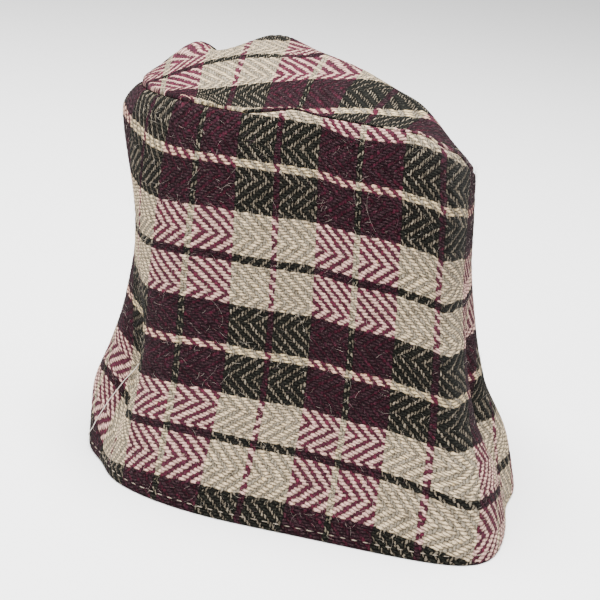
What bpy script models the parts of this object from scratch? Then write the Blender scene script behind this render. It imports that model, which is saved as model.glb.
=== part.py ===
"""Topi cap: a soft, tall, bell-shaped cap of coarse check tweed that stands on its open rim.

It has two pieces. The side wall is one tube of cloth, open below, with its hem turned up inside. The crown
is a puffed panel of the same cloth, sewn to the wall's top edge all round. The front faces -Y and Z is up.
Angles run round the cap from the front, and are positive towards +X.
"""

from collections import namedtuple

import bpy
import numpy as np

# Driving dimensions, in metres. The tables below them are in millimetres and degrees.
MM = 0.001
CLOTH = 2.0 * MM
TURN_UP_HEIGHT = 11.0 * MM
TURN_UP_CLOTH = 1.5 * MM
WALL_HEIGHT = 176.0 * MM
SEAM_GAP = 0.3 * MM
CROWN_RISE = 24.5 * MM

# Faces round the cap, from hem to seam above the turn-up, and from the crown's edge to its middle
AROUND = 78
WALL_ROWS = 22
CROWN_RINGS = 12

# Level cuts through the wall. The left, right, front and back reaches are from the axis of each cut, and
# the squareness of the two front corners is 2 for an ellipse and more for a sharper corner.
Section = namedtuple("Section", "height left right front back axis_x axis_y square_left square_right")
SECTIONS = [
    Section(0, 101, 106, 79, 81, -2, -1, 2.5, 7.0),
    Section(25, 102, 98.5, 76, 78, -2, 0, 2.4, 6.0),
    Section(50, 95, 84, 74, 77, -2, 1, 2.4, 5.0),
    Section(75, 88, 77, 72, 76, -3, 2, 2.5, 5.5),
    Section(110, 84, 72, 70, 74, -5, 3, 2.7, 4.5),
    Section(145, 88, 71.5, 66, 72, -8, 5, 2.7, 4.5),
    Section(162, 90, 68, 63, 70, -10, 6, 2.5, 4.5),
    Section(180, 76, 59, 58, 66, -11, 7, 2.5, 4.0),
]
BACK_SQUARENESS = 2.2

# Folds that run up from the hem. Each is at its full depth a little above the hem, and gone at its top.
Fold = namedtuple("Fold", "angle depth spread top")
FOLDS = [
    Fold(-60, 13, 8, 115),
    Fold(83, 9, 8, 105),
    Fold(128, 6, 14, 90),
    Fold(-140, 7, 15, 100),
]
FOLD_FULL_AT = 40.0
FOLD_AT_HEM = 0.25

# Shallow hollows in the cloth (a negative depth is a bulge)
Dent = namedtuple("Dent", "angle height depth spread tall")
DENTS = [
    Dent(14, 105, 2.5, 16, 60),
    Dent(-20, 150, -1.5, 14, 25),
    Dent(-75, 120, 3.0, 16, 30),
    Dent(170, 120, 5.0, 30, 40),
]

# How far the crown seam lies above or below WALL_HEIGHT round the cap
Rise = namedtuple("Rise", "angle height")
SEAM_LINE = [
    Rise(-180, -16),
    Rise(-120, -7.5),
    Rise(-75, -2),
    Rise(-36, -1),
    Rise(-20, -1),
    Rise(-8, 1),
    Rise(2, 3),
    Rise(12, 1.8),
    Rise(24, 1.3),
    Rise(36, 0.5),
    Rise(48, -1.2),
    Rise(60, -8),
    Rise(75, -14),
    Rise(90, -23),
    Rise(130, -36),
    Rise(180, -16),
]

# Puffs of the crown, placed from above (a negative rise is a valley)
Puff = namedtuple("Puff", "x y rise wide deep")
PUFFS = [
    Puff(-80, 24, 4, 12, 20),
    Puff(-62, 34, -10, 9, 24),
    Puff(-38, 39, 3.5, 12, 22),
    Puff(35, 35, 3.5, 12, 30),
]
CROWN_MIDDLE = (-37 * MM, 7 * MM)

# The crown's mean slope along X and Y, and its middle's drop below WALL_HEIGHT before it rises. It rises
# more steeply at its shoulder with a higher power, and its uneven edge is smoothed out nearer the seam.
CROWN_SLOPE = np.array([-0.12, 0.13])
CROWN_DROP = 10.7 * MM
SHOULDER_POWER = 2.7
SHOULDER_EASE = 1.14
EDGE_POWER = 4.5

# Just inside the seam the crown's cloth turns up and stands this high, as its folded edge does
LIP = 2.0 * MM
LIP_POWER = 60
SEAM_RINGS = 3


def column(rows, name):
    """One named column of a table, as an array."""
    return np.array([getattr(row, name) for row in rows], float)


def smooth_through(at, xs, ys):
    """A smooth curve through the points (xs, ys) that doesn't overshoot them."""
    step = np.diff(xs)
    rise = np.diff(ys) / step
    slope = np.concatenate([rise[:1], np.zeros(len(xs) - 2), rise[-1:]])
    same_way = rise[1:] * rise[:-1] > 0
    total = np.where(same_way, rise[1:] + rise[:-1], 1.0)
    slope[1:-1] = np.where(same_way, 2 * rise[1:] * rise[:-1] / total, 0.0)
    k = np.clip(np.searchsorted(xs, at) - 1, 0, len(step) - 1)
    t = (at - xs[k]) / step[k]
    left, right = ys[k], ys[k + 1]
    return (
        left * (1 + 2 * t) * (1 - t) ** 2
        + right * t * t * (3 - 2 * t)
        + step[k] * (slope[k] * t * (1 - t) ** 2 - slope[k + 1] * t * t * (1 - t))
    )


def turn_from(angle, centre):
    """The angle from a centre the short way round, in degrees."""
    return (angle - centre + 180) % 360 - 180


def seam_rise(angle):
    """Height of the crown seam above WALL_HEIGHT, in metres."""
    angles, heights = column(SEAM_LINE, "angle"), column(SEAM_LINE, "height")
    angles = np.concatenate([angles[:-1] - 360, angles, angles[1:] + 360])
    heights = np.concatenate([heights[:-1], heights, heights[1:]])
    return MM * smooth_through(turn_from(angle, 0), angles, heights)


def wall_outside(angle, share):
    """Points of the wall's outer face. share is 0 at the hem and 1 at the crown seam."""
    angle, share = np.broadcast_arrays(np.asarray(angle, float), np.asarray(share, float))
    z = share * WALL_HEIGHT + share**3 * seam_rise(angle)
    heights = MM * column(SECTIONS, "height")
    left, right, front, back, axis_x, axis_y, square_left, square_right = (
        smooth_through(z, heights, column(SECTIONS, name)) for name in Section._fields[1:]
    )
    side, ahead = np.sin(np.radians(angle)), np.cos(np.radians(angle))
    square = np.where(ahead > 0, np.where(side < 0, square_left, square_right), BACK_SQUARENESS)
    reach_x = np.where(side < 0, left, right)
    reach_y = np.where(ahead > 0, front, back)
    radius = ((np.abs(side) / reach_x) ** square + (np.abs(ahead) / reach_y) ** square) ** (-1 / square)
    for fold in FOLDS:
        heights = np.array([-1.0, 0.0, FOLD_FULL_AT, fold.top, 999.0])
        share_deep = smooth_through(z / MM, heights, np.array([FOLD_AT_HEM, FOLD_AT_HEM, 1.0, 0.0, 0.0]))
        near = (turn_from(angle, fold.angle) / fold.spread) ** 2
        radius = radius - fold.depth * share_deep * np.exp(-near)
    for dent in DENTS:
        near = (turn_from(angle, dent.angle) / dent.spread) ** 2 + ((z / MM - dent.height) / dent.tall) ** 2
        radius = radius - dent.depth * np.exp(-near)
    return np.stack([MM * (axis_x + radius * side), MM * (axis_y - radius * ahead), z], -1)


def crown_outside(angle, share):
    """Points of the crown's outer face. share is 1 at the seam and 0 in the middle."""
    angle, share = np.broadcast_arrays(np.asarray(angle, float), np.asarray(share, float))
    edge = wall_outside(angle, 1.0) + (0, 0, SEAM_GAP)
    middle = np.array([*CROWN_MIDDLE, WALL_HEIGHT - CROWN_DROP])
    reach = edge - middle
    off_plane = reach[..., 2] - reach[..., :2] @ CROWN_SLOPE
    point = middle + reach * share[..., None]
    point[..., 2] = middle[2] + reach[..., :2] @ CROWN_SLOPE * share + off_plane * share**EDGE_POWER
    x, y = point[..., 0] / MM, point[..., 1] / MM
    lift = CROWN_RISE / MM * (1 - share**SHOULDER_POWER) ** SHOULDER_EASE
    for puff in PUFFS:
        near = ((x - puff.x) / puff.wide) ** 2 + ((y - puff.y) / puff.deep) ** 2
        lift = lift + puff.rise * np.exp(-near) * (1 - share**6)
    point[..., 2] += lift * MM + LIP * (1 - share**LIP_POWER)
    return point


def facing_out(points, upwards):
    """Unit normals of a grid of points that is closed round its first axis."""
    ahead = np.roll(points, -1, axis=0) - np.roll(points, 1, axis=0)
    along = np.gradient(points, axis=1)
    normal = np.cross(ahead, along)
    normal /= np.linalg.norm(normal, axis=-1, keepdims=True) + 1e-12
    outward = normal[..., 2] if upwards else (normal * (points - points.mean(axis=(0, 1)))).sum(-1)
    return normal * np.where(outward.mean() > 0, 1, -1)


def add_material(obj, name, colour):
    """One plain Principled BSDF material on the object."""
    material = bpy.data.materials.new(name)
    material.use_nodes = True
    shader = material.node_tree.nodes["Principled BSDF"]
    shader.inputs["Base Color"].default_value = (*colour, 1)
    shader.inputs["Roughness"].default_value = 0.95
    obj.data.materials.append(material)


def add_object(name, points, faces, colour):
    """A smooth-shaded mesh object from its points and faces."""
    mesh = bpy.data.meshes.new(name)
    mesh.from_pydata([tuple(map(float, p)) for p in points], [], [tuple(map(int, f)) for f in faces])
    mesh.update()
    for polygon in mesh.polygons:
        polygon.use_smooth = True
    obj = bpy.data.objects.new(name, mesh)
    bpy.context.scene.collection.objects.link(obj)
    add_material(obj, f"{name}_tweed", colour)
    return obj


def grid_faces(around, rows, start, flip):
    """Four-sided faces of a grid of points that is closed round its first axis."""
    faces = []
    for i in range(around):
        for j in range(rows - 1):
            a, b = start + i * rows + j, start + (i + 1) % around * rows + j
            face = (a, b, b + 1, a + 1)
            faces.append(face[::-1] if flip else face)
    return faces


def edge_faces(around, rows_out, rows_in, row_out, row_in, flip):
    """Faces that close a rim between a row of the outer grid and a row of the inner grid."""
    inner = around * rows_out
    faces = []
    for i in range(around):
        k = (i + 1) % around
        face = (
            i * rows_out + row_out,
            inner + i * rows_in + row_in,
            inner + k * rows_in + row_in,
            k * rows_out + row_out,
        )
        faces.append(face[::-1] if flip else face)
    return faces


for old in list(bpy.data.objects):
    bpy.data.objects.remove(old)

angles = np.arange(AROUND) * 360.0 / AROUND

# Side wall: the inner face follows the outer one, a cloth's thickness in, and two at the turned-up hem.
# Its first row lies on the floor with the hem's edge.
hem_rows = np.array([0.0, 0.5, 1.0, 1.15]) * TURN_UP_HEIGHT / WALL_HEIGHT
shares = np.concatenate([hem_rows, np.linspace(hem_rows[-1], 1, WALL_ROWS + 1)[1:]])
outside = wall_outside(angles[:, None], shares[None, :])
thickness = np.full(len(shares), CLOTH)
thickness[:3] += TURN_UP_CLOTH
inside = outside - facing_out(outside, upwards=False) * thickness[None, :, None]
inside[:, 0, 2] = 0.0
rows = len(shares)
wall_faces = (
    grid_faces(AROUND, rows, 0, flip=False)
    + grid_faces(AROUND, rows, AROUND * rows, flip=True)
    + edge_faces(AROUND, rows, rows, 0, 0, flip=False)
    + edge_faces(AROUND, rows, rows, rows - 1, rows - 1, flip=True)
)
wall_points = np.concatenate([outside.reshape(-1, 3), inside.reshape(-1, 3)])
add_object("wall", wall_points, wall_faces, (0.16, 0.07, 0.07))

# Crown: a dome of cloth whose edge stands on the wall's top edge. Each face closes with one middle point.
shares = np.cos(np.linspace(0, np.pi / 2, CROWN_RINGS + 1))[:-1] ** 0.9
top = crown_outside(angles[:, None], shares[None, :])
under = top - facing_out(top, upwards=True) * CLOTH
wall_top_in = inside[:, -1] - outside[:, -1]
under[:, 0] = top[:, 0] + wall_top_in
for ring in range(1, SEAM_RINGS):
    under[:, ring] = under[:, 0] + (under[:, SEAM_RINGS] - under[:, 0]) * ring / SEAM_RINGS
rings = len(shares)
middle = crown_outside(0.0, 0.0)
crown_faces = (
    grid_faces(AROUND, rings, 0, flip=False)
    + grid_faces(AROUND, rings, AROUND * rings, flip=True)
    + edge_faces(AROUND, rings, rings, 0, 0, flip=False)
)
apex, nadir = 2 * AROUND * rings, 2 * AROUND * rings + 1
for i in range(AROUND):
    k = (i + 1) % AROUND
    a, b = i * rings + rings - 1, k * rings + rings - 1
    crown_faces.append((a, b, apex))
    crown_faces.append((AROUND * rings + b, AROUND * rings + a, nadir))
crown_points = np.concatenate([top.reshape(-1, 3), under.reshape(-1, 3), [middle, middle - (0, 0, CLOTH)]])
add_object("crown", crown_points, crown_faces, (0.16, 0.07, 0.07))
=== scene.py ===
from collections import namedtuple
from functools import partial

import bpy
import numpy as np
from mathutils import Matrix, Vector


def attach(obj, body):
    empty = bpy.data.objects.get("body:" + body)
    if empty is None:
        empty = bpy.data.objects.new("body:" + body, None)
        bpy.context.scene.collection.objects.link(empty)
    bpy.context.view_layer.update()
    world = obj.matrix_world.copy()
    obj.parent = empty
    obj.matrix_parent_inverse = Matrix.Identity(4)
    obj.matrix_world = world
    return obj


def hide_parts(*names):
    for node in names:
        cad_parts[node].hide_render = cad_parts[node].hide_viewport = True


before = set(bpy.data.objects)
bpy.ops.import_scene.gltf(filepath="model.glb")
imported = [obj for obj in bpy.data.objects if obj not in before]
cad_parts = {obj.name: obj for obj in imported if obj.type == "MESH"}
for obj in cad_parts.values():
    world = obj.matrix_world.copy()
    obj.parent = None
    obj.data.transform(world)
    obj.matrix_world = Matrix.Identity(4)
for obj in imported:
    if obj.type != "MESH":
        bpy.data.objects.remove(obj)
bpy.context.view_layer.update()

# Side wall
# One tube of coarse wool tweed, woven in a check on a zigzag twill, open below and soft enough to fold at
# the front corners. Its hem is turned up once to the inside, and its top edge is sewn to the crown panel.
MM = 0.001
WALL_HEIGHT = 176.0
CLOTH = 2.0
HEM_TURN_UP = 11.0
HEM_CLOTH = 1.5
HEM_ROUND = 1.5
SEAM_ROLL = 3.0
SEAM_TUCK = 1.1
THREADS_ROUND = 444
THREADS_UP = 150
RELIEF = 0.22
RELIEF_FADES_AT_HEM = 3.0
RELIEF_FADES_AT_SEAM = 2.0
Section = namedtuple("Section", "height left right front back axis_x axis_y square_left square_right")
SECTIONS = [
    Section(0, 101, 106, 79, 81, -2, -1, 2.5, 7.0),
    Section(25, 102, 98.5, 76, 78, -2, 0, 2.4, 6.0),
    Section(50, 95, 84, 74, 77, -2, 1, 2.4, 5.0),
    Section(75, 88, 77, 72, 76, -3, 2, 2.5, 5.5),
    Section(110, 84, 72, 70, 74, -5, 3, 2.7, 4.5),
    Section(145, 88, 71.5, 66, 72, -8, 5, 2.7, 4.5),
    Section(162, 90, 68, 63, 70, -10, 6, 2.5, 4.5),
    Section(180, 76, 59, 58, 66, -11, 7, 2.5, 4.0),
]
BACK_SQUARENESS = 2.2
Fold = namedtuple("Fold", "angle depth spread top")
FOLDS = [Fold(-60, 13, 8, 115), Fold(83, 9, 8, 105), Fold(128, 6, 14, 90), Fold(-140, 7, 15, 100)]
FOLD_FULL_AT = 40.0
FOLD_AT_HEM = 0.25
Dent = namedtuple("Dent", "angle height depth spread tall")
DENTS = [
    Dent(14, 105, 2.5, 16, 60),
    Dent(-20, 150, -1.5, 14, 25),
    Dent(-75, 120, 3.0, 16, 30),
    Dent(170, 120, 5.0, 30, 40),
]
Rise = namedtuple("Rise", "angle height")
SEAM_LINE = [
    Rise(-180, -16),
    Rise(-120, -7.5),
    Rise(-75, -2),
    Rise(-36, -1),
    Rise(-20, -1),
    Rise(-8, 1),
    Rise(2, 3),
    Rise(12, 1.8),
    Rise(24, 1.3),
    Rise(36, 0.5),
    Rise(48, -1.2),
    Rise(60, -8),
    Rise(75, -14),
    Rise(90, -23),
    Rise(130, -36),
    Rise(180, -16),
]

# Where the check lies on the wall: the picks by their height on the middle of the front, how much lower the
# stripes hang elsewhere, and the places of the ends round three level cuts
Pick = namedtuple("Pick", "height number")
PICKS = [
    Pick(-30, -19),
    Pick(0, 4.5),
    Pick(13.7, 15),
    Pick(35, 31),
    Pick(56.5, 50),
    Pick(78, 69),
    Pick(115.8, 102.5),
    Pick(156, 138),
    Pick(178, 157.5),
    Pick(210, 186),
]
Droop = namedtuple("Droop", "angle at_hem at_top at_seam")
DROOPS = [
    Droop(-180, 0, 0, 0),
    Droop(-110, 0, 0, 0),
    Droop(-72, -3, -3, -11),
    Droop(-58, 8, -1, -9),
    Droop(-48, 5, 3, -5),
    Droop(-36, 2, 2, -1),
    Droop(-20, 0, 0, 0),
    Droop(12, 0, 0, 0.9),
    Droop(24, 1.5, 1.5, 4.4),
    Droop(34, 2.5, 2.5, 4.3),
    Droop(44, 6.5, 6.5, 3.5),
    Droop(54, 12.5, 12.5, 5.5),
    Droop(62, 14, 14, 10),
    Droop(80, 19.5, 19.5, 18),
    Droop(92, 20, 20, 22),
    Droop(130, 12, 12, 12),
    Droop(180, 0, 0, 0),
]
End = namedtuple("End", "number at_hem at_middle at_top")
ENDS = [
    End(-236, -297, -295, -289),
    End(-84, -95, -93, -80),
    End(-56, -68, -66, -54),
    End(-28, -28, -21, -20),
    End(0, 12, 15, 14.5),
    End(28, 52, 51, 50),
    End(42, 72, 70.5, 69.5),
    End(56, 96, 103, 105),
    End(236, 324, 330, 334),
]
END_HEIGHTS = np.array([0.0, 80.0, 170.0])


def column(rows, name):
    """One named column of a table, as an array."""
    return np.array([getattr(row, name) for row in rows], float)


def smooth_through(at, xs, ys):
    """A smooth curve through the points (xs, ys) that doesn't overshoot them."""
    step = np.diff(xs)
    rise = np.diff(ys) / step
    slope = np.concatenate([rise[:1], np.zeros(len(xs) - 2), rise[-1:]])
    same_way = rise[1:] * rise[:-1] > 0
    total = np.where(same_way, rise[1:] + rise[:-1], 1.0)
    slope[1:-1] = np.where(same_way, 2 * rise[1:] * rise[:-1] / total, 0.0)
    k = np.clip(np.searchsorted(xs, at) - 1, 0, len(step) - 1)
    t = (at - xs[k]) / step[k]
    left, right = ys[k], ys[k + 1]
    return (
        left * (1 + 2 * t) * (1 - t) ** 2
        + right * t * t * (3 - 2 * t)
        + step[k] * (slope[k] * t * (1 - t) ** 2 - slope[k + 1] * t * t * (1 - t))
    )


def turn_from(angle, centre):
    """The angle from a centre the short way round, in degrees."""
    return (angle - centre + 180) % 360 - 180


def seam_rise(angle):
    """Height of the crown seam above WALL_HEIGHT."""
    angles, heights = column(SEAM_LINE, "angle"), column(SEAM_LINE, "height")
    angles = np.concatenate([angles[:-1] - 360, angles, angles[1:] + 360])
    heights = np.concatenate([heights[:-1], heights, heights[1:]])
    return smooth_through(turn_from(angle, 0), angles, heights)


def wall_outside(angle, share):
    """Points of the wall's outer face. share is 0 at the hem and 1 at the crown seam."""
    angle, share = np.broadcast_arrays(np.asarray(angle, float), np.asarray(share, float))
    z = share * WALL_HEIGHT + share**3 * seam_rise(angle)
    heights = column(SECTIONS, "height")
    left, right, front, back, axis_x, axis_y, square_left, square_right = (
        smooth_through(z, heights, column(SECTIONS, name)) for name in Section._fields[1:]
    )
    side, ahead = np.sin(np.radians(angle)), np.cos(np.radians(angle))
    square = np.where(ahead > 0, np.where(side < 0, square_left, square_right), BACK_SQUARENESS)
    reach_x = np.where(side < 0, left, right)
    reach_y = np.where(ahead > 0, front, back)
    radius = ((np.abs(side) / reach_x) ** square + (np.abs(ahead) / reach_y) ** square) ** (-1 / square)
    for fold in FOLDS:
        heights = np.array([-1.0, 0.0, FOLD_FULL_AT, fold.top, 999.0])
        deep = smooth_through(z, heights, np.array([FOLD_AT_HEM, FOLD_AT_HEM, 1.0, 0.0, 0.0]))
        radius = radius - fold.depth * deep * np.exp(-((turn_from(angle, fold.angle) / fold.spread) ** 2))
    for dent in DENTS:
        near = (turn_from(angle, dent.angle) / dent.spread) ** 2 + ((z - dent.height) / dent.tall) ** 2
        radius = radius - dent.depth * np.exp(-near)
    return np.stack([axis_x + radius * side, axis_y - radius * ahead, z], -1)


def facing_out(points, upwards):
    """Unit normals of a grid of points that is closed round its first axis."""
    ahead = np.roll(points, -1, axis=0) - np.roll(points, 1, axis=0)
    along = np.gradient(points, axis=1)
    normal = np.cross(ahead, along)
    normal /= np.linalg.norm(normal, axis=-1, keepdims=True) + 1e-12
    outward = normal[..., 2] if upwards else (normal * (points - points.mean(axis=(0, 1)))).sum(-1)
    return normal * np.where(outward.mean() > 0, 1, -1)


def wall_threads(angle, points):
    """The end and pick numbers, with fractions, at points of the wall, whose columns start at the back."""
    level = np.hypot(*np.moveaxis(np.diff(points[..., :2], axis=0), -1, 0))
    run = np.concatenate([np.zeros((1, points.shape[1])), np.cumsum(level, axis=0)])
    front = np.argmin(np.abs(angle))
    run -= run[front]
    end = np.empty(run.shape)
    for row in range(points.shape[1]):
        height = points[front, row, 2]
        at = [
            smooth_through(height, END_HEIGHTS, np.array([e.at_hem, e.at_middle, e.at_top], float))
            for e in ENDS
        ]
        end[:, row] = smooth_through(run[:, row], np.array(at), column(ENDS, "number"))
    up = points[..., 2] / WALL_HEIGHT
    low, high, last = (
        smooth_through(angle, column(DROOPS, "angle"), column(DROOPS, name))[:, None]
        for name in Droop._fields[1:]
    )
    hang = low * (1 - up) + high * up + (last - high) * up**8
    pick = smooth_through(points[..., 2] + hang, column(PICKS, "height"), column(PICKS, "number"))
    return np.stack([end, pick], -1)


# The twill line runs one way for 13 picks and back for 9
TWILL_UP = 13
TWILL_REPEAT = 22
FLOATS = 4


def zigzag(pick):
    """How far the twill line has moved sideways at a pick."""
    turn = pick % TWILL_REPEAT
    return np.minimum(turn, 2 * TWILL_UP - turn)


def twill_relief(threads):
    """Height of the cloth's diagonal ribs at end and pick numbers, from -1 to 1."""
    return np.cos(2 * np.pi * (threads[..., 0] + zigzag(threads[..., 1]) - 1.0) / FLOATS)


def strip_faces(first, second, flip):
    """Four-sided faces between two rows of point numbers, one above the other."""
    rows = zip(first, first[1:], second, second[1:])
    return [(b, a, c, d) if flip else (a, b, d, c) for a, b, c, d in rows]


def cloth_object(name, points, faces, threads, layout):
    """A smooth-shaded piece of cloth, from points in millimetres, their threads and a flat layout."""
    mesh = bpy.data.meshes.new(name)
    mesh.from_pydata((points * MM).tolist(), [], faces)
    corner = np.empty(len(mesh.loops), int)
    mesh.loops.foreach_get("vertex_index", corner)
    for name_of_map, values in (("threads", threads), ("OFBake", layout)):
        uv_map = mesh.uv_layers.new(name=name_of_map)
        uv_map.uv.foreach_set("vector", values[corner].astype(np.float32).ravel())
    mesh.shade_smooth()
    piece = bpy.data.objects.new(name, mesh)
    bpy.context.scene.collection.objects.link(piece)
    return piece


def join_back_seam(piece):
    """Closes a tube whose first and last columns lie on each other."""
    bpy.ops.object.select_all(action="DESELECT")
    piece.select_set(True)
    bpy.context.view_layer.objects.active = piece
    bpy.ops.object.mode_set(mode="EDIT")
    bpy.ops.mesh.select_all(action="SELECT")
    bpy.ops.mesh.remove_doubles(threshold=0.00001)
    bpy.ops.object.mode_set(mode="OBJECT")


# The outer face has about one point for each crossing of the threads. Its columns are even round the wall,
# and its rows end in a rounded hem below and in a roll at the crown seam above.
trial = np.linspace(-180, 180, 2001)
walked = np.cumsum(np.linalg.norm(np.diff(wall_outside(trial, 0.4), axis=0), axis=-1))
angles = np.interp(np.linspace(0, walked[-1], THREADS_ROUND + 1), np.append(0, walked), trial)
hem_turn = np.radians([90.0, 60.0, 35.0, 15.0])
hem_heights = HEM_ROUND * (1 - np.sin(hem_turn))
hem_insets = HEM_ROUND * (1 - np.sqrt(1 - (1 - hem_heights / HEM_ROUND) ** 2))
shares = np.append(hem_heights / WALL_HEIGHT, np.linspace(HEM_ROUND / WALL_HEIGHT, 1, THREADS_UP))
insets = np.append(hem_insets, np.zeros(THREADS_UP))
from_seam = (1 - shares) * WALL_HEIGHT
insets = insets + SEAM_TUCK * np.clip(1 - from_seam / SEAM_ROLL, 0, 1) ** 2
face = wall_outside(angles[:, None], shares[None])
closed = face[:-1]
normals = facing_out(closed, upwards=False)
normals = np.concatenate([normals, normals[:1]])
threads = wall_threads(angles, face)
ribs = RELIEF * twill_relief(threads)
from_edge = np.minimum(from_seam / RELIEF_FADES_AT_SEAM, shares * WALL_HEIGHT / RELIEF_FADES_AT_HEM)
ribs *= np.clip(from_edge, 0, 1)[None]
ribs[-1] = ribs[0]
outer = face + normals * (ribs - insets[None])[..., None]
outer[..., 2] = np.maximum(outer[..., 2], 0)
outer[:, 0, 2] = 0

# The inner face is coarser. It goes up from the hem over the turned-up layer and its cut edge.
INNER_EVERY = 3
inner_heights = np.array([0, 0.4, 1.5, 4, 7, 10, HEM_TURN_UP - 0.3, HEM_TURN_UP, HEM_TURN_UP + 0.1])
inner_shares = np.append(inner_heights, np.linspace(HEM_TURN_UP + 3, WALL_HEIGHT, 46)) / WALL_HEIGHT
depth = np.full(len(inner_shares), CLOTH)
depth[:9] = CLOTH + HEM_CLOTH * np.array([0.2, 0.65, 1, 1.05, 1, 1.05, 0.95, 0.7, 0.05])
inner_angles = angles[::INNER_EVERY]
inner_face = wall_outside(inner_angles[:, None], inner_shares[None])
inner_normals = facing_out(inner_face[:-1], upwards=False)
inner_normals = np.concatenate([inner_normals, inner_normals[:1]])
inner = inner_face - inner_normals * depth[None, :, None]
inner[..., 2] = np.maximum(inner[..., 2], 0)
inner[:, 0, 2] = 0
inner_threads = wall_threads(inner_angles, inner_face)

columns, rows = outer.shape[:2]
number = np.arange(columns * rows).reshape(columns, rows)
inner_columns, inner_rows = inner.shape[:2]
inner_number = columns * rows + np.arange(inner_columns * inner_rows).reshape(inner_columns, inner_rows)
faces = []
for row in range(rows - 1):
    faces += strip_faces(number[:, row].tolist(), number[:, row + 1].tolist(), flip=False)
for row in range(inner_rows - 1):
    faces += strip_faces(inner_number[:, row].tolist(), inner_number[:, row + 1].tolist(), flip=True)
for k in range(inner_columns - 1):
    run = number[k * INNER_EVERY : (k + 1) * INNER_EVERY + 1]
    faces.append([int(inner_number[k, 0]), int(inner_number[k + 1, 0]), *run[::-1, 0].tolist()])
    faces.append([int(inner_number[k + 1, -1]), int(inner_number[k, -1]), *run[:, -1].tolist()])
points = np.concatenate([outer.reshape(-1, 3), inner.reshape(-1, 3)])
wall_numbers = np.concatenate([threads.reshape(-1, 2), inner_threads.reshape(-1, 2)])

# A flat layout of the cloth: the outer face in two strips, and the inner face in a narrow one
STRIP_FROM, STRIP_STEP, STRIP_TALL = 0.01, 0.46, 0.44
INNER_STRIP_FROM, INNER_STRIP_TALL = 0.94, 0.05
along = np.linspace(0, 1, columns)[:, None] * np.ones(rows)
half = (along > 0.5).astype(float)
outer_up = STRIP_FROM + half * STRIP_STEP + np.linspace(0, STRIP_TALL, rows)[None] + 0 * along
outer_flat = np.stack([along * 2 - half, outer_up], -1)
inner_along = np.linspace(0, 1, inner_columns)[:, None] * np.ones(inner_rows)
inner_up = INNER_STRIP_FROM + np.linspace(0, INNER_STRIP_TALL, inner_rows)[None] + 0 * inner_along
inner_flat = np.stack([inner_along, inner_up], -1)
layout = np.concatenate([outer_flat.reshape(-1, 2), inner_flat.reshape(-1, 2)])

wall = cloth_object("side_wall", points, faces, wall_numbers, layout)
join_back_seam(wall)


def linear(code):
    """An sRGB hex colour as linear RGBA."""
    part = [int(code[i : i + 2], 16) / 255 for i in (1, 3, 5)]
    return (*[c / 12.92 if c <= 0.04045 else ((c + 0.055) / 1.055) ** 2.4 for c in part], 1.0)


def add_node(material, kind, *inputs, result=None, **settings):
    """Adds a node of a kind such as "Math ADD", with its properties set and its inputs filled in order by
    values or links, and returns one of its outputs. An input of None is left as it is."""
    kind, _, operation = kind.partition(" ")
    node = material.node_tree.nodes.new(f"ShaderNode{kind}")
    if operation:
        node.operation = operation
    for name, value in settings.items():
        setattr(node, name, value)
    for socket, value in zip([s for s in node.inputs if s.enabled], inputs):
        if isinstance(value, bpy.types.NodeSocket):
            material.node_tree.links.new(value, socket)
        elif value is not None:
            socket.default_value = value
    return node.outputs[result] if result else next(s for s in node.outputs if s.enabled)


# Wool tweed in a check: twisted, hairy yarns about 1.2 mm thick, two over and two under. The warp is maroon
# and cream, the weft dark green and pale pinkish white, and the two mix by eye into the check's four tones.
# It gives the eye slanting floats with soft dark gaps between them, and no gloss at all.
Stripe = namedtuple("Stripe", "threads colour")
WARP_MAROON, WARP_CREAM = "#40202c", "#968a78"
WEFT_PALE, WEFT_CREAM, WEFT_DARK = "#d2c5b2", "#d2c4a8", "#1b1d1d"
OVER_MAROON, OVER_CREAM = "#efccd2", "#eee3cf"
CRIMSON_FIBRE, OCHRE_FIBRE, GREY_LINT, PINK_LINT = "#581a2e", "#a5864c", "#8b8674", "#cf6c84"
DARK_BELOW = 0.1
WARP = [
    Stripe(13, WARP_MAROON),
    Stripe(2, WARP_CREAM),
    Stripe(13, WARP_MAROON),
    Stripe(13, WARP_CREAM),
    Stripe(2, WARP_MAROON),
    Stripe(13, WARP_CREAM),
]
WARP_FROM = 0
WEFT = [
    Stripe(3, WEFT_DARK),
    Stripe(16, WEFT_PALE),
    Stripe(16, WEFT_DARK),
    Stripe(3, WEFT_CREAM),
    Stripe(16, WEFT_DARK),
    Stripe(16, WEFT_PALE),
]
WEFT_FROM = 31
REPEATS_BELOW_NOUGHT = 40

# The weft is beaten up so hard that its floats swell over the warp, whose dashes lean along the twill line.
# These are the widths of a warp float in threads, and its half length as a share of two picks.
MAROON_WIDTH = 1.1
CREAM_WIDTH = 0.85
CREAM_WIDTH_ON_DARK = 0.6
# On the crown the cream floats between dark ones are narrower still. This is painted shade: it darkens the
# crown's dark stripes, which the overhead lamp lights more than the wall's.
CREAM_WIDTH_ON_DARK_CROWN_PAINTED_SHADE = 0.42
FLOAT_REACH = 0.5
WARP_LEAN = 0.4

# How far the yarns wander, in threads, and how fine that is. Yarns side by side read the noise at places a
# few threads apart, so that their slubs differ. The floats stand half a millimetre high to the light.
Wander = namedtuple("Wander", "scale wide")
WANDERS = [Wander(0.35, 1.2), Wander(1.1, 0.7)]
WARP_STRIDE, WEFT_STRIDE = 7.31, 5.77
NOISE_ROUGHNESS = 0.7
NOISE_RANGE = (0.3, 0.7)
WARP_RELIEF, FIBRE_RELIEF = 0.7, 0.35
BUMP_STRENGTH, BUMP_METRES = 0.6, 0.0005

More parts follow.
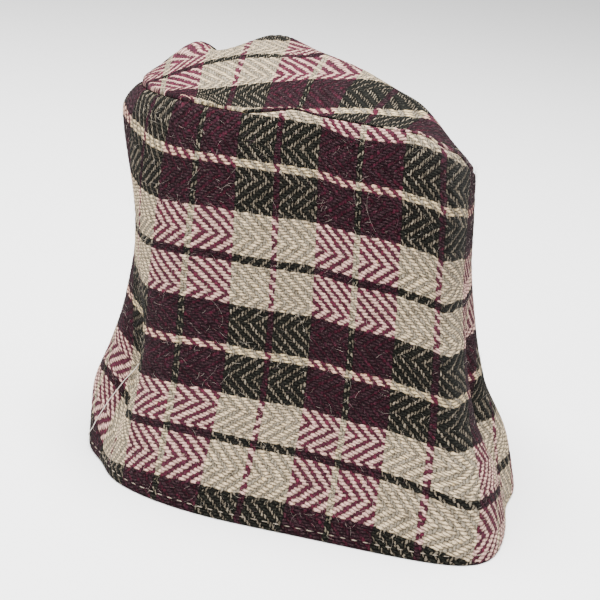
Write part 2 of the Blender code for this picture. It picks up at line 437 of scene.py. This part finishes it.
# How much of each kind of loose fibre shows, and the tones that slubs, gaps and fibres give a yarn, as shares
# of its own colour. The shade that the warp lies in is a share as well.
RUBBED_OFF = 0.3
OCHRE_SHARE, CRIMSON_SHARE, PINK_SHARE, GREY_SHARE = 0.5, 0.7, 0.045, 0.25
SHADE = 0.1
SHADE_ON_DARK = (0.6, 0.15)
SLUB_TONES = (0.6, 1.3)
GAP_TONES = (0.08, 1.08)
FIBRE_TONES = (0.5, 1.4)


def yarn_colours(material, count, stripes, start):
    """The colour of a yarn by its number, from stripes that repeat."""
    repeat = sum(stripe.threads for stripe in stripes)
    at = add_node(material, "Math SUBTRACT", count, start - 0.5 - repeat * REPEATS_BELOW_NOUGHT)
    at = add_node(material, "Math MODULO", at, repeat)
    at = add_node(material, "Math DIVIDE", at, repeat)
    colour = add_node(material, "ValToRGB", at)
    ramp = colour.node.color_ramp
    ramp.interpolation = "CONSTANT"
    begins = np.cumsum([0] + [stripe.threads for stripe in stripes[:-1]]) / repeat
    for k, (begin, stripe) in enumerate(zip(begins, stripes)):
        stop = ramp.elements[0] if k == 0 else ramp.elements.new(float(begin))
        stop.position, stop.color = float(begin), linear(stripe.colour)
    ramp.elements.remove(ramp.elements[-1])
    return colour


def tweed(name, cream_on_dark):
    """The cloth's material, with the width of a cream warp float between dark ones, in threads."""
    material = bpy.data.materials.new(name)
    material.use_nodes = True
    node = partial(add_node, material)

    # Hand-spun yarns wander a little from their even places
    place = node("UVMap", uv_map="threads")
    for wander in WANDERS:
        shift = node(
            "TexNoise", place, wander.scale, 2.0, NOISE_ROUGHNESS, result="Color", noise_dimensions="2D"
        )
        shift = node("VectorMath SUBTRACT", shift, (0.5, 0.5, 0.5))
        shift = node("VectorMath MULTIPLY", shift, (wander.wide, wander.wide, 0.0))
        place = node("VectorMath ADD", place, shift)
    across, upward = node("SeparateXYZ", place, result="X"), node("SeparateXYZ", place, result="Y")
    end, pick = node("Math FLOOR", across), node("Math FLOOR", upward)
    in_end, in_pick = node("Math FRACT", across), node("Math FRACT", upward)

    # Each yarn's own colour, with slubs and paler or darker lengths along it
    warp_colour = yarn_colours(material, end, WARP, WARP_FROM)
    weft_colour = yarn_colours(material, pick, WEFT, WEFT_FROM)
    maroon = node("Math LESS_THAN", node("SeparateColor", warp_colour, result="Green"), DARK_BELOW)
    dark = node("Math LESS_THAN", node("SeparateColor", weft_colour, result="Green"), DARK_BELOW)
    pale = node("Math SUBTRACT", 1.0, dark)
    warp_spot = node("CombineXYZ", node("Math MULTIPLY", end, WARP_STRIDE), upward)
    weft_spot = node("CombineXYZ", across, node("Math MULTIPLY", pick, WEFT_STRIDE))
    warp_slub = node("TexNoise", warp_spot, 0.5, 3.0, NOISE_ROUGHNESS, noise_dimensions="2D")
    weft_slub = node("TexNoise", weft_spot, 0.5, 3.0, NOISE_ROUGHNESS, noise_dimensions="2D")

    # The phase says which threads of the twill's four cross here. Where the warp is up, its row is 0 in the
    # lower half of the float and 1 in the upper half.
    turn = node("Math FLOORED_MODULO", pick, TWILL_REPEAT)
    going_up = node("Math LESS_THAN", turn, TWILL_UP - 0.5)
    step = node("Math MINIMUM", turn, node("Math SUBTRACT", 2 * TWILL_UP, turn))
    phase = node("Math ADD", node("Math ADD", end, step), -1.0)
    phase = node("Math ADD", node("Math FLOORED_MODULO", phase, FLOATS), 1.0)
    row_rising, row_falling = node("Math SUBTRACT", phase, 2.0), node("Math SUBTRACT", 3.0, phase)
    warp_row = node("Mix", going_up, row_falling, row_rising)

    # A warp float is a short leaning dash, two picks tall, that the swollen weft closes in on from all sides
    warp_along = node("Math MULTIPLY_ADD", node("Math ADD", warp_row, in_pick), 0.5, -0.5)
    lean = node("Math MULTIPLY_ADD", going_up, 2 * WARP_LEAN, -WARP_LEAN)
    warp_across = node("Math MULTIPLY_ADD", warp_along, lean, node("Math SUBTRACT", in_end, 0.5))
    width = node("Mix", dark, CREAM_WIDTH, cream_on_dark)
    width = node("Mix", maroon, width, MAROON_WIDTH)
    width = node("Math MULTIPLY", node("Math ADD", warp_slub, 0.5), width)
    sideways = node("Math DIVIDE", node("Math ABSOLUTE", warp_across), node("Math MULTIPLY", width, 0.5))
    endways = node("Math DIVIDE", node("Math ABSOLUTE", warp_along), FLOAT_REACH)
    dash = node("Math ADD", node("Math POWER", sideways, 2.5), node("Math POWER", endways, 3.0))
    weft_up = node("Math GREATER_THAN", dash, 1.0)
    warp_height = node("Math SQRT", node("Math MAXIMUM", node("Math SUBTRACT", 1.0, dash), 0.0))

    # A weft float is rounded across, and goes down at both ends
    weft_along = node("Math ADD", node("Math ADD", phase, in_end), 1.0)
    weft_along = node("Math SUBTRACT", node("Math FLOORED_MODULO", weft_along, FLOATS), FLOATS / 2)
    weft_ends = node("MapRange", node("Math ABSOLUTE", weft_along), 0.3, 1.4, 1.0, 0.25)
    off_middle = node("Math ABSOLUTE", node("Math MULTIPLY_ADD", in_pick, 2.0, -1.0))
    crest = node("Math SUBTRACT", 1.0, node("Math POWER", off_middle, 1.5))
    weft_height = node("Math MULTIPLY", node("Math MULTIPLY_ADD", crest, 0.8, 0.2), weft_ends)
    height = node("Mix", weft_up, node("Math MULTIPLY", warp_height, WARP_RELIEF), weft_height)

    # Fibres of the warp rub off on the weft over it, and a few ochre ones are spun into the pale weft
    tint = node("Mix", maroon, linear(OVER_CREAM), linear(OVER_MAROON), data_type="RGBA")
    rubbed = node("VectorMath MULTIPLY", weft_colour, tint)
    maroon_on_dark = node("Math MULTIPLY", node("Math MULTIPLY", maroon, dark), RUBBED_OFF)
    rubbed = node("Mix", maroon_on_dark, rubbed, warp_colour, data_type="RGBA")
    ochre = node("Math MULTIPLY", node("MapRange", weft_slub, 0.64, 0.7, 0.0, OCHRE_SHARE), pale)
    rubbed = node("Mix", ochre, rubbed, linear(OCHRE_FIBRE), data_type="RGBA")

    # The maroon has crimson lengths, and pink lint where the weft is pale. Between dark floats the warp lies
    # in shade, some of its floats deeper than others.
    crimson = node("TexNoise", warp_spot, 0.9, 2.0, NOISE_ROUGHNESS, noise_dimensions="2D")
    crimson = node("Math MULTIPLY", node("MapRange", crimson, 0.5, 0.62, 0.0, CRIMSON_SHARE), maroon)
    sunk = node("Mix", crimson, warp_colour, linear(CRIMSON_FIBRE), data_type="RGBA")
    pink = node("Math MULTIPLY", node("Math SUBTRACT", maroon, dark), PINK_SHARE, use_clamp=True)
    sunk = node("Mix", pink, sunk, linear(PINK_LINT), data_type="RGBA")
    float_spot = node("CombineXYZ", end, node("Math SUBTRACT", pick, warp_row))
    chance = node("TexWhiteNoise", float_spot, noise_dimensions="2D")
    shade = node("MapRange", chance, 0.0, 1.0, *SHADE_ON_DARK)
    shade = node("Math MULTIPLY_ADD", dark, shade, SHADE)
    sunk = node("VectorMath SCALE", sunk, node("Math SUBTRACT", 1.0, shade))

    # Loose fibres blur each float, and the gaps between floats are in shade
    yarn = node("Mix", weft_up, sunk, rubbed, data_type="RGBA")
    slub = node("Mix", weft_up, warp_slub, weft_slub)
    yarn = node("VectorMath SCALE", yarn, node("MapRange", slub, *NOISE_RANGE, *SLUB_TONES))
    fibres = node("TexNoise", place, 2.6, 4.0, NOISE_ROUGHNESS, noise_dimensions="2D")
    lint = node("Math MULTIPLY", dark, node("MapRange", fibres, 0.6, 0.75, 0.0, GREY_SHARE))
    yarn = node("Mix", lint, yarn, linear(GREY_LINT), data_type="RGBA")
    gap = node("MapRange", height, 0.15, 0.85, *GAP_TONES)
    gap = node("Math MULTIPLY", gap, node("MapRange", fibres, *NOISE_RANGE, *FIBRE_TONES))
    colour = node("VectorMath SCALE", yarn, gap)
    relief = node("Math ADD", height, node("Math MULTIPLY", fibres, FIBRE_RELIEF))
    bump = node("Bump", BUMP_STRENGTH, BUMP_METRES, None, relief)

    wool = material.node_tree.nodes["Principled BSDF"]
    material.node_tree.links.new(colour, wool.inputs["Base Color"])
    material.node_tree.links.new(bump, wool.inputs["Normal"])
    wool.inputs["Roughness"].default_value = 0.95
    wool.inputs["Specular IOR Level"].default_value = 0.02
    wool.inputs["Sheen Weight"].default_value = 0.015
    wool.inputs["Sheen Roughness"].default_value = 0.6
    return material


wall.data.materials.append(tweed("wool_tweed_wall", CREAM_WIDTH_ON_DARK))
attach(wall, "root")
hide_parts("wall")

# Crown
# A soft round panel of the same tweed, cut on its own and sewn to the wall's top edge with the seam inside.
# It stands up as a puffed dome that slopes down to the right, with a valley behind its left lobe.
CROWN_RISE = 24.5
CROWN_MIDDLE = (-37.0, 7.0)
CROWN_SLOPE = np.array([-0.12, 0.13])
CROWN_DROP = 10.7
SHOULDER_POWER = 2.7
SHOULDER_EASE = 1.14
EDGE_POWER = 4.5
LIP = 2.0
LIP_POWER = 60
SEAM_GAP = 0.3
UNDER_SETTLES = 5.0
CROWN_AROUND = 380
CROWN_RINGS = 70
POLE_SMOOTH = 0.04
Puff = namedtuple("Puff", "x y rise wide deep")
PUFFS = [
    Puff(-80, 24, 4, 12, 20),
    Puff(-62, 34, -10, 9, 24),
    Puff(-38, 39, 3.5, 12, 22),
    Puff(35, 35, 3.5, 12, 30),
]

# The panel's check is turned from the wall's, and the puffed cloth is pulled askew, so its two sets of
# stripes don't cross square. Their numbers are given at this place; the stripes bow and spread from there,
# as far as the panel can be seen in the photograph, and run straighter behind. Where the cloth is gathered
# over the lobe, at the back and at the front seam, a tug moves the rows by some picks.
CHECK_PLACE = (-60.0, -10.0)
ROWS_TURN = 32.0
COLUMNS_TURN = 12.0
CHECK_PICK = 106.5
CHECK_END = -26.5
PICK_PITCH = 1.235
END_PITCH = 1.191
ROWS_BOW = 0.0029
ROWS_SPREAD = 0.0038
COLUMNS_SPREAD = 0.0028
STRAIGHT_PAST = (42.0, 26.0)
STRAIGHT_SOFTLY = 6.0
Tug = namedtuple("Tug", "x y picks wide")
TUGS = [
    Tug(-80, 18, -14, 18),
    Tug(-36, 26, 7, 14),
    Tug(-12, 38, -8, 14),
    Tug(-62, -46, -15, 7),
    Tug(-52, -50, -8, 8),
]


def crown_outside(angle, share):
    """Points of the crown's outer face. share is 1 at the seam and 0 in the middle."""
    angle, share = np.broadcast_arrays(np.asarray(angle, float), np.asarray(share, float))
    edge = wall_outside(angle, 1.0) + (0, 0, SEAM_GAP)
    middle = np.array([*CROWN_MIDDLE, WALL_HEIGHT - CROWN_DROP])
    reach = edge - middle
    off_plane = reach[..., 2] - reach[..., :2] @ CROWN_SLOPE
    point = middle + reach * share[..., None]
    point[..., 2] = middle[2] + reach[..., :2] @ CROWN_SLOPE * share + off_plane * share**EDGE_POWER
    lift = CROWN_RISE * (1 - share**SHOULDER_POWER) ** SHOULDER_EASE
    for puff in PUFFS:
        near = ((point[..., 0] - puff.x) / puff.wide) ** 2 + ((point[..., 1] - puff.y) / puff.deep) ** 2
        lift = lift + puff.rise * np.exp(-near) * (1 - share**6)
    point[..., 2] += lift + LIP * (1 - share**LIP_POWER)
    return point


def crown_threads(points):
    """The end and pick numbers, with fractions, at points of the crown."""

    def turned(place, degrees):
        turn = np.radians(degrees)
        x, y = place[..., 0] - CHECK_PLACE[0], place[..., 1] - CHECK_PLACE[1]
        return x * np.cos(turn) + y * np.sin(turn), y * np.cos(turn) - x * np.sin(turn)

    place = points[..., :2]
    held = STRAIGHT_PAST - STRAIGHT_SOFTLY * np.log1p(np.exp((STRAIGHT_PAST - place) / STRAIGHT_SOFTLY))
    along, over = turned(held, ROWS_TURN)
    pick = CHECK_PICK + turned(place, ROWS_TURN)[1] / PICK_PITCH
    pick = pick - ROWS_BOW * along**2 - ROWS_SPREAD * along * over
    for tug in TUGS:
        pick = pick + tug.picks * np.exp(-(((place - (tug.x, tug.y)) / tug.wide) ** 2).sum(-1))
    across, up = turned(held, COLUMNS_TURN)
    end = CHECK_END + turned(place, COLUMNS_TURN)[0] / END_PITCH - COLUMNS_SPREAD * across * up
    return np.stack([end, pick], -1)


around = np.linspace(-180, 180, CROWN_AROUND + 1)[:-1]
rings = np.cos(np.linspace(0, np.pi / 2, CROWN_RINGS + 1))[:-1] ** 0.8
top = crown_outside(around[:, None], rings[None])
top_normals = facing_out(top, upwards=True)
top_threads = crown_threads(top)
run_in = np.linalg.norm(top - top[:, :1], axis=-1)
tuck = SEAM_TUCK * np.clip(1 - run_in / SEAM_ROLL, 0, 1) ** 2
ribs = RELIEF * twill_relief(top_threads) * np.clip(run_in / RELIEF_FADES_AT_SEAM, 0, 1)
ribs = ribs * np.clip(rings / POLE_SMOOTH, 0, 1)
wall_top = wall_outside(around[:, None], np.linspace(0.9, 1, 5)[None])
side_normals = facing_out(wall_top, upwards=False)[:, -1:]
shell = top + top_normals * ribs[..., None] - side_normals * tuck[..., None]
under = top - top_normals * CLOTH
under[:, 0] = top[:, 0] - side_normals[:, 0] * CLOTH
settled = np.clip(run_in / UNDER_SETTLES, 0, 1)[..., None]
under = under[:, :1] + (under - under[:, :1]) * settled
apex = crown_outside(0.0, 0.0)
count = CROWN_AROUND * CROWN_RINGS
number = np.arange(count).reshape(CROWN_AROUND, CROWN_RINGS)
number = np.concatenate([number, number[:1]])
under_number = count + number
faces = []
for ring in range(CROWN_RINGS - 1):
    faces += strip_faces(number[:, ring].tolist(), number[:, ring + 1].tolist(), flip=False)
    faces += strip_faces(under_number[:, ring].tolist(), under_number[:, ring + 1].tolist(), flip=True)
faces += strip_faces(under_number[:, 0].tolist(), number[:, 0].tolist(), flip=False)
for a, b in zip(number[:, -1].tolist(), number[1:, -1].tolist()):
    faces.append((a, b, 2 * count))
    faces.append((count + b, count + a, 2 * count + 1))
points = np.concatenate([shell.reshape(-1, 3), under.reshape(-1, 3), [apex, apex - (0, 0, CLOTH)]])
crown_numbers = crown_threads(points)
TOP_FROM, TOP_WIDE = 0.01, 0.84
UNDER_FROM, UNDER_WIDE = 0.86, 0.13
flat = (points[:, :2] - points[:, :2].min(axis=0)) / np.ptp(points[:, :2], axis=0)
inside = np.r_[np.zeros(count, bool), np.ones(count, bool), False, True]
layout = np.where(inside[:, None], UNDER_FROM + UNDER_WIDE * flat, TOP_FROM + TOP_WIDE * flat)
crown = cloth_object("crown_panel", points, faces, crown_numbers, layout)
# The crown's copy of the tweed takes narrower cream floats on dark, as painted shade on its dark stripes.
crown.data.materials.append(tweed("wool_tweed_crown", CREAM_WIDTH_ON_DARK_CROWN_PAINTED_SHADE))
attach(crown, "root")
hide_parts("crown")

# Topstitching
# One row of pale cotton lockstitch round the hem, about 4 mm above its edge, that holds the turn-up. Each
# stitch is a short length of thread pulled down into the wool, so that only its back shows.
STITCH_HEIGHT = 4.0
STITCH_EVERY = 5.0
STITCH_LENGTH = 2.7
STITCH_THREAD = 0.5
STITCH_SUNK = 0.05
NEARBY_DEGREES, NEARBY_SHARE = 0.3, 0.004


def join_shapes(name, shapes, colours):
    """One piece from (points, faces, colour number) shapes, in millimetres."""
    points, faces, slots, start = [], [], [], 0
    for shape_points, shape_faces, colour in shapes:
        points.append(shape_points)
        faces += [tuple(start + k for k in face) for face in shape_faces]
        slots += [colour] * len(shape_faces)
        start += len(shape_points)
    mesh = bpy.data.meshes.new(name)
    mesh.from_pydata((np.concatenate(points) * MM).tolist(), [], faces)
    for material in colours:
        mesh.materials.append(material)
    mesh.polygons.foreach_set("material_index", slots)
    mesh.shade_smooth()
    piece = bpy.data.objects.new(name, mesh)
    bpy.context.scene.collection.objects.link(piece)
    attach(piece, "root")
    return piece


def on_wall(angle, height, off):
    """A point off the wall's outer face, and the face's outward and level directions there."""
    share = np.clip(height / (WALL_HEIGHT + seam_rise(angle)), 0.0, 1.0)
    near = wall_outside(np.array([angle - NEARBY_DEGREES, angle, angle + NEARBY_DEGREES]), share)
    over = wall_outside(angle, share + NEARBY_SHARE) - wall_outside(angle, share - NEARBY_SHARE)
    level = (near[2] - near[0]) / np.linalg.norm(near[2] - near[0])
    out = np.cross(level, over / np.linalg.norm(over))
    return near[1] + out * off, out, level


bpy.ops.object.select_all(action="DESELECT")
bpy.ops.mesh.primitive_uv_sphere_add(segments=6, ring_count=6, radius=0.5)
pattern = bpy.context.active_object
bpy.ops.object.mode_set(mode="EDIT")
bpy.ops.transform.resize(value=(STITCH_THREAD, STITCH_THREAD, STITCH_LENGTH))
bpy.ops.object.mode_set(mode="OBJECT")
stitch_points = np.array([v.co[:] for v in pattern.data.vertices])
stitch_faces = [tuple(f.vertices) for f in pattern.data.polygons]
bpy.data.objects.remove(pattern)

# Unbleached cotton thread, about half a millimetre thick: dull, and darker in fine noise where its twist
# turns under, as painted shade
cotton = bpy.data.materials.new("cotton_thread")
cotton.use_nodes = True
spot = add_node(cotton, "TexCoord", result="Object")
twist_shade = add_node(cotton, "TexNoise", spot, 1200.0, 2.0)
twist_shade = add_node(cotton, "MapRange", twist_shade, *NOISE_RANGE, 0.0, 1.0)
tint = add_node(cotton, "ValToRGB", twist_shade)
tint.node.color_ramp.elements[0].color = linear("#4d443c")
tint.node.color_ramp.elements[1].color = linear("#9a8e7d")
thread = cotton.node_tree.nodes["Principled BSDF"]
cotton.node_tree.links.new(tint, thread.inputs["Base Color"])
thread.inputs["Roughness"].default_value = 0.7
thread.inputs["Specular IOR Level"].default_value = 0.2

hem_line = wall_outside(trial, STITCH_HEIGHT / WALL_HEIGHT)
hem_run = np.append(0, np.cumsum(np.linalg.norm(np.diff(hem_line, axis=0), axis=-1)))
stitches = []
for at in np.arange(0.5, hem_run[-1] - STITCH_EVERY / 2, STITCH_EVERY):
    place, out, level = on_wall(np.interp(at, hem_run, trial), STITCH_HEIGHT, STITCH_SUNK)
    turned = np.stack([np.cross(out, level), out, level], 1)
    stitches.append((place + stitch_points @ turned.T, stitch_faces, 0))
topstitching = join_shapes("hem_topstitching", stitches, [cotton])

# Loose fibres
# Coarse wool sheds: short fine hairs stand off the cloth all over and soften its outline, longer ones curl
# over the front, and one pale thread has come loose at the left fold.
rng = np.random.default_rng(7)
SHORT_HAIRS = 3200
SHORT_POINTS = 5
SHORT_HEIGHTS = (3, 172)
SHORT_LENGTHS = (1.5, 4.5)
SHORT_STAND_OFF = (0.15, 0.9)
SHORT_DARK_SHARE = 0.35
LONG_HAIRS = 46
LONG_POINTS = 20
LONG_ANGLES = (-70, 60)
LONG_HEIGHTS = (15, 165)
LONG_LENGTHS = (7, 24)
LONG_DARK_SHARE = 0.4
HAIR_RADIUS = 0.03
THREAD_RADIUS = 0.24
PALE_FIBRE, DARK_FIBRE, PALE_YARN = 0, 1, 2
PINCHED = 0.35
ANY_WAY = (0.31, 0.52, 0.79)
Loose = namedtuple("Loose", "angle height off")
LOOSE_THREAD = [
    Loose(-61.0, 49, 0.4),
    Loose(-63.5, 39, 2.0),
    Loose(-64.5, 29, 3.0),
    Loose(-65.5, 20, 3.0),
    Loose(-67.0, 12, 2.0),
    Loose(-70.5, 5, 1.0),
]


def hair(line, radius, colour):
    """A three-sided fibre along a line of points, pinched off at both ends."""
    line = np.array(line, float)
    line[:, 2] = np.maximum(line[:, 2], 2 * radius)
    way = np.gradient(line, axis=0)
    way /= np.linalg.norm(way, axis=-1, keepdims=True) + 1e-9
    side = np.cross(way, ANY_WAY)
    side /= np.linalg.norm(side, axis=-1, keepdims=True) + 1e-9
    third = np.cross(way, side)
    thin = radius * np.where(np.arange(len(line)) % (len(line) - 1) == 0, PINCHED, 1.0)[:, None]
    rings = [
        line + thin * (np.cos(turn) * side + np.sin(turn) * third)
        for turn in (0, 2 * np.pi / 3, 4 * np.pi / 3)
    ]
    points = np.stack(rings, 1).reshape(-1, 3)
    faces = [(0, 2, 1), (len(points) - 3, len(points) - 2, len(points) - 1)]
    for k in range(len(line) - 1):
        for a, b in ((0, 1), (1, 2), (2, 0)):
            faces.append((3 * k + a, 3 * k + b, 3 * k + 3 + b, 3 * k + 3 + a))
    return points, faces, colour


def wool_fibre(name, dark, pale):
    """Single wool fibres, dull, and a little darker and paler along their length."""
    material = bpy.data.materials.new(name)
    material.use_nodes = True
    spots = add_node(material, "TexNoise", add_node(material, "TexCoord", result="Object"), 180.0)
    colour = add_node(material, "ValToRGB", spots)
    stops = colour.node.color_ramp.elements
    stops[0].position, stops[1].position = 0.35, 0.65
    stops[0].color, stops[1].color = linear(dark), linear(pale)
    fibre = material.node_tree.nodes["Principled BSDF"]
    material.node_tree.links.new(colour, fibre.inputs["Base Color"])
    fibre.inputs["Roughness"].default_value = 0.6
    return material


fibres = [
    wool_fibre("wool_fibre_pale", "#7a7066", "#b5aa9d"),
    wool_fibre("wool_fibre_dark", "#2a2024", "#5a3a44"),
    wool_fibre("wool_yarn_pale", "#cfc6bb", "#e6ded4"),
]
hairs = []
for _ in range(SHORT_HAIRS):
    place, out, level = on_wall(rng.uniform(-180, 180), rng.uniform(*SHORT_HEIGHTS), 0.0)
    lean = level * rng.normal() + np.array([0, 0, 1.0]) * rng.normal()
    lean /= np.linalg.norm(lean)
    curl = np.cross(out, lean) * rng.normal(0, 0.5)
    long = rng.uniform(*SHORT_LENGTHS)
    stand = rng.uniform(*SHORT_STAND_OFF)
    steps = np.linspace(0, 1, SHORT_POINTS)[:, None]
    line = place + long * (steps * lean + stand * (steps - 0.6 * steps**2) * out + curl * steps**2)
    thickness = HAIR_RADIUS * rng.uniform(0.7, 1.1)
    hairs.append(hair(line, thickness, DARK_FIBRE if rng.random() < SHORT_DARK_SHARE else PALE_FIBRE))
for _ in range(LONG_HAIRS):
    angle, height = rng.uniform(*LONG_ANGLES), rng.uniform(*LONG_HEIGHTS)
    place, out, level = on_wall(angle, height, 0.0)
    high = np.array([0, 0, 1.0])
    steps = np.linspace(0, 1, LONG_POINTS)[:, None]
    bend, start = rng.normal(0, 0.9), rng.uniform(0, 2 * np.pi)
    heading = start + bend * steps + rng.normal(0, 0.8) * np.sin(4 * steps)
    long = rng.uniform(*LONG_LENGTHS)
    walk = np.cumsum(np.concatenate([np.cos(heading), np.sin(heading)], 1), axis=0) * long / LONG_POINTS
    line = place + walk[:, :1] * level + walk[:, 1:] * high + out * (0.4 + 1.2 * np.sin(np.pi * steps))
    thickness = HAIR_RADIUS * rng.uniform(0.6, 1.0)
    hairs.append(hair(line, thickness, DARK_FIBRE if rng.random() < LONG_DARK_SHARE else PALE_FIBRE))
turns = np.linspace(0, len(LOOSE_THREAD) - 1, 16)
stray = [
    on_wall(*(np.interp(at, range(len(LOOSE_THREAD)), column(LOOSE_THREAD, n)) for n in Loose._fields))[0]
    for at in turns
]
hairs.append(hair(stray, THREAD_RADIUS, PALE_YARN))
loose_fibres = join_shapes("loose_wool_fibres", hairs, fibres)

# Floor and light
# A wide plain pale table in an evenly lit white room. A large soft lamp hangs over the cap, and a weak one
# stands in front of it on the left.
bpy.ops.object.select_all(action="DESELECT")
bpy.ops.mesh.primitive_plane_add(size=6, location=(0, 0, 0))
floor = bpy.context.active_object
floor.name = "floor"

# Matt paper, nearly white: it gives the eye a plain ground that takes a soft shadow and never shines
paper = bpy.data.materials.new("matt_white_paper")
paper.use_nodes = True
paper.node_tree.nodes["Principled BSDF"].inputs["Base Color"].default_value = linear("#fafafa")
paper.node_tree.nodes["Principled BSDF"].inputs["Roughness"].default_value = 0.9
floor.data.materials.append(paper)

world = bpy.data.worlds.new("soft_white_room")
world.use_nodes = True
world.node_tree.nodes["Background"].inputs["Color"].default_value = linear("#ffffff")
world.node_tree.nodes["Background"].inputs["Strength"].default_value = 0.9
bpy.context.scene.world = world

MIDDLE_OF_CAP = Vector((0, 0, 0.09))
Lamp = namedtuple("Lamp", "name place size watts")
for lamp in (
    Lamp("overhead_softbox", (-0.15, -0.1, 1.5), 1.0, 103.0),
    Lamp("front_softbox", (-0.3, -1.6, 0.7), 1.2, 2.0),
):
    bpy.ops.object.light_add(type="AREA", location=lamp.place)
    light = bpy.context.active_object
    light.name = lamp.name
    light.data.size = lamp.size
    light.data.energy = lamp.watts
    light.rotation_euler = (MIDDLE_OF_CAP - Vector(lamp.place)).to_track_quat("-Z", "Y").to_euler()

# Camera
# It stands a little to the right of the front and above, about an arm's length away, and is tipped by a few
# degrees as the photo is.
DISTANCE = 600.0
ELEVATION, AZIMUTH, ROLL = np.radians([19.0, 12.0, 6.0])
LOOK_AT = np.array([-2.1, -34.0, 91.3])
PIXEL_AT_TARGET = 0.445
PHOTO_WIDTH = 600
SENSOR = 36.0
level = np.array([-np.sin(AZIMUTH), np.cos(AZIMUTH), 0.0])
toward = level * np.cos(ELEVATION) - np.array([0.0, 0.0, np.sin(ELEVATION)])
right = np.array([np.cos(AZIMUTH), np.sin(AZIMUTH), 0.0])
up = np.cross(right, toward)
axis_x = right * np.cos(ROLL) + up * np.sin(ROLL)
axis_y = up * np.cos(ROLL) - right * np.sin(ROLL)
camera = bpy.data.objects.new("camera", bpy.data.cameras.new("camera"))
bpy.context.scene.collection.objects.link(camera)
camera.data.sensor_width = SENSOR
camera.data.lens = SENSOR * DISTANCE / (PIXEL_AT_TARGET * PHOTO_WIDTH)
turned = Matrix(np.stack([axis_x, axis_y, -toward], 1).tolist()).to_4x4()
camera.matrix_world = Matrix.Translation(Vector((LOOK_AT - toward * DISTANCE) * MM)) @ turned
bpy.context.scene.camera = camera
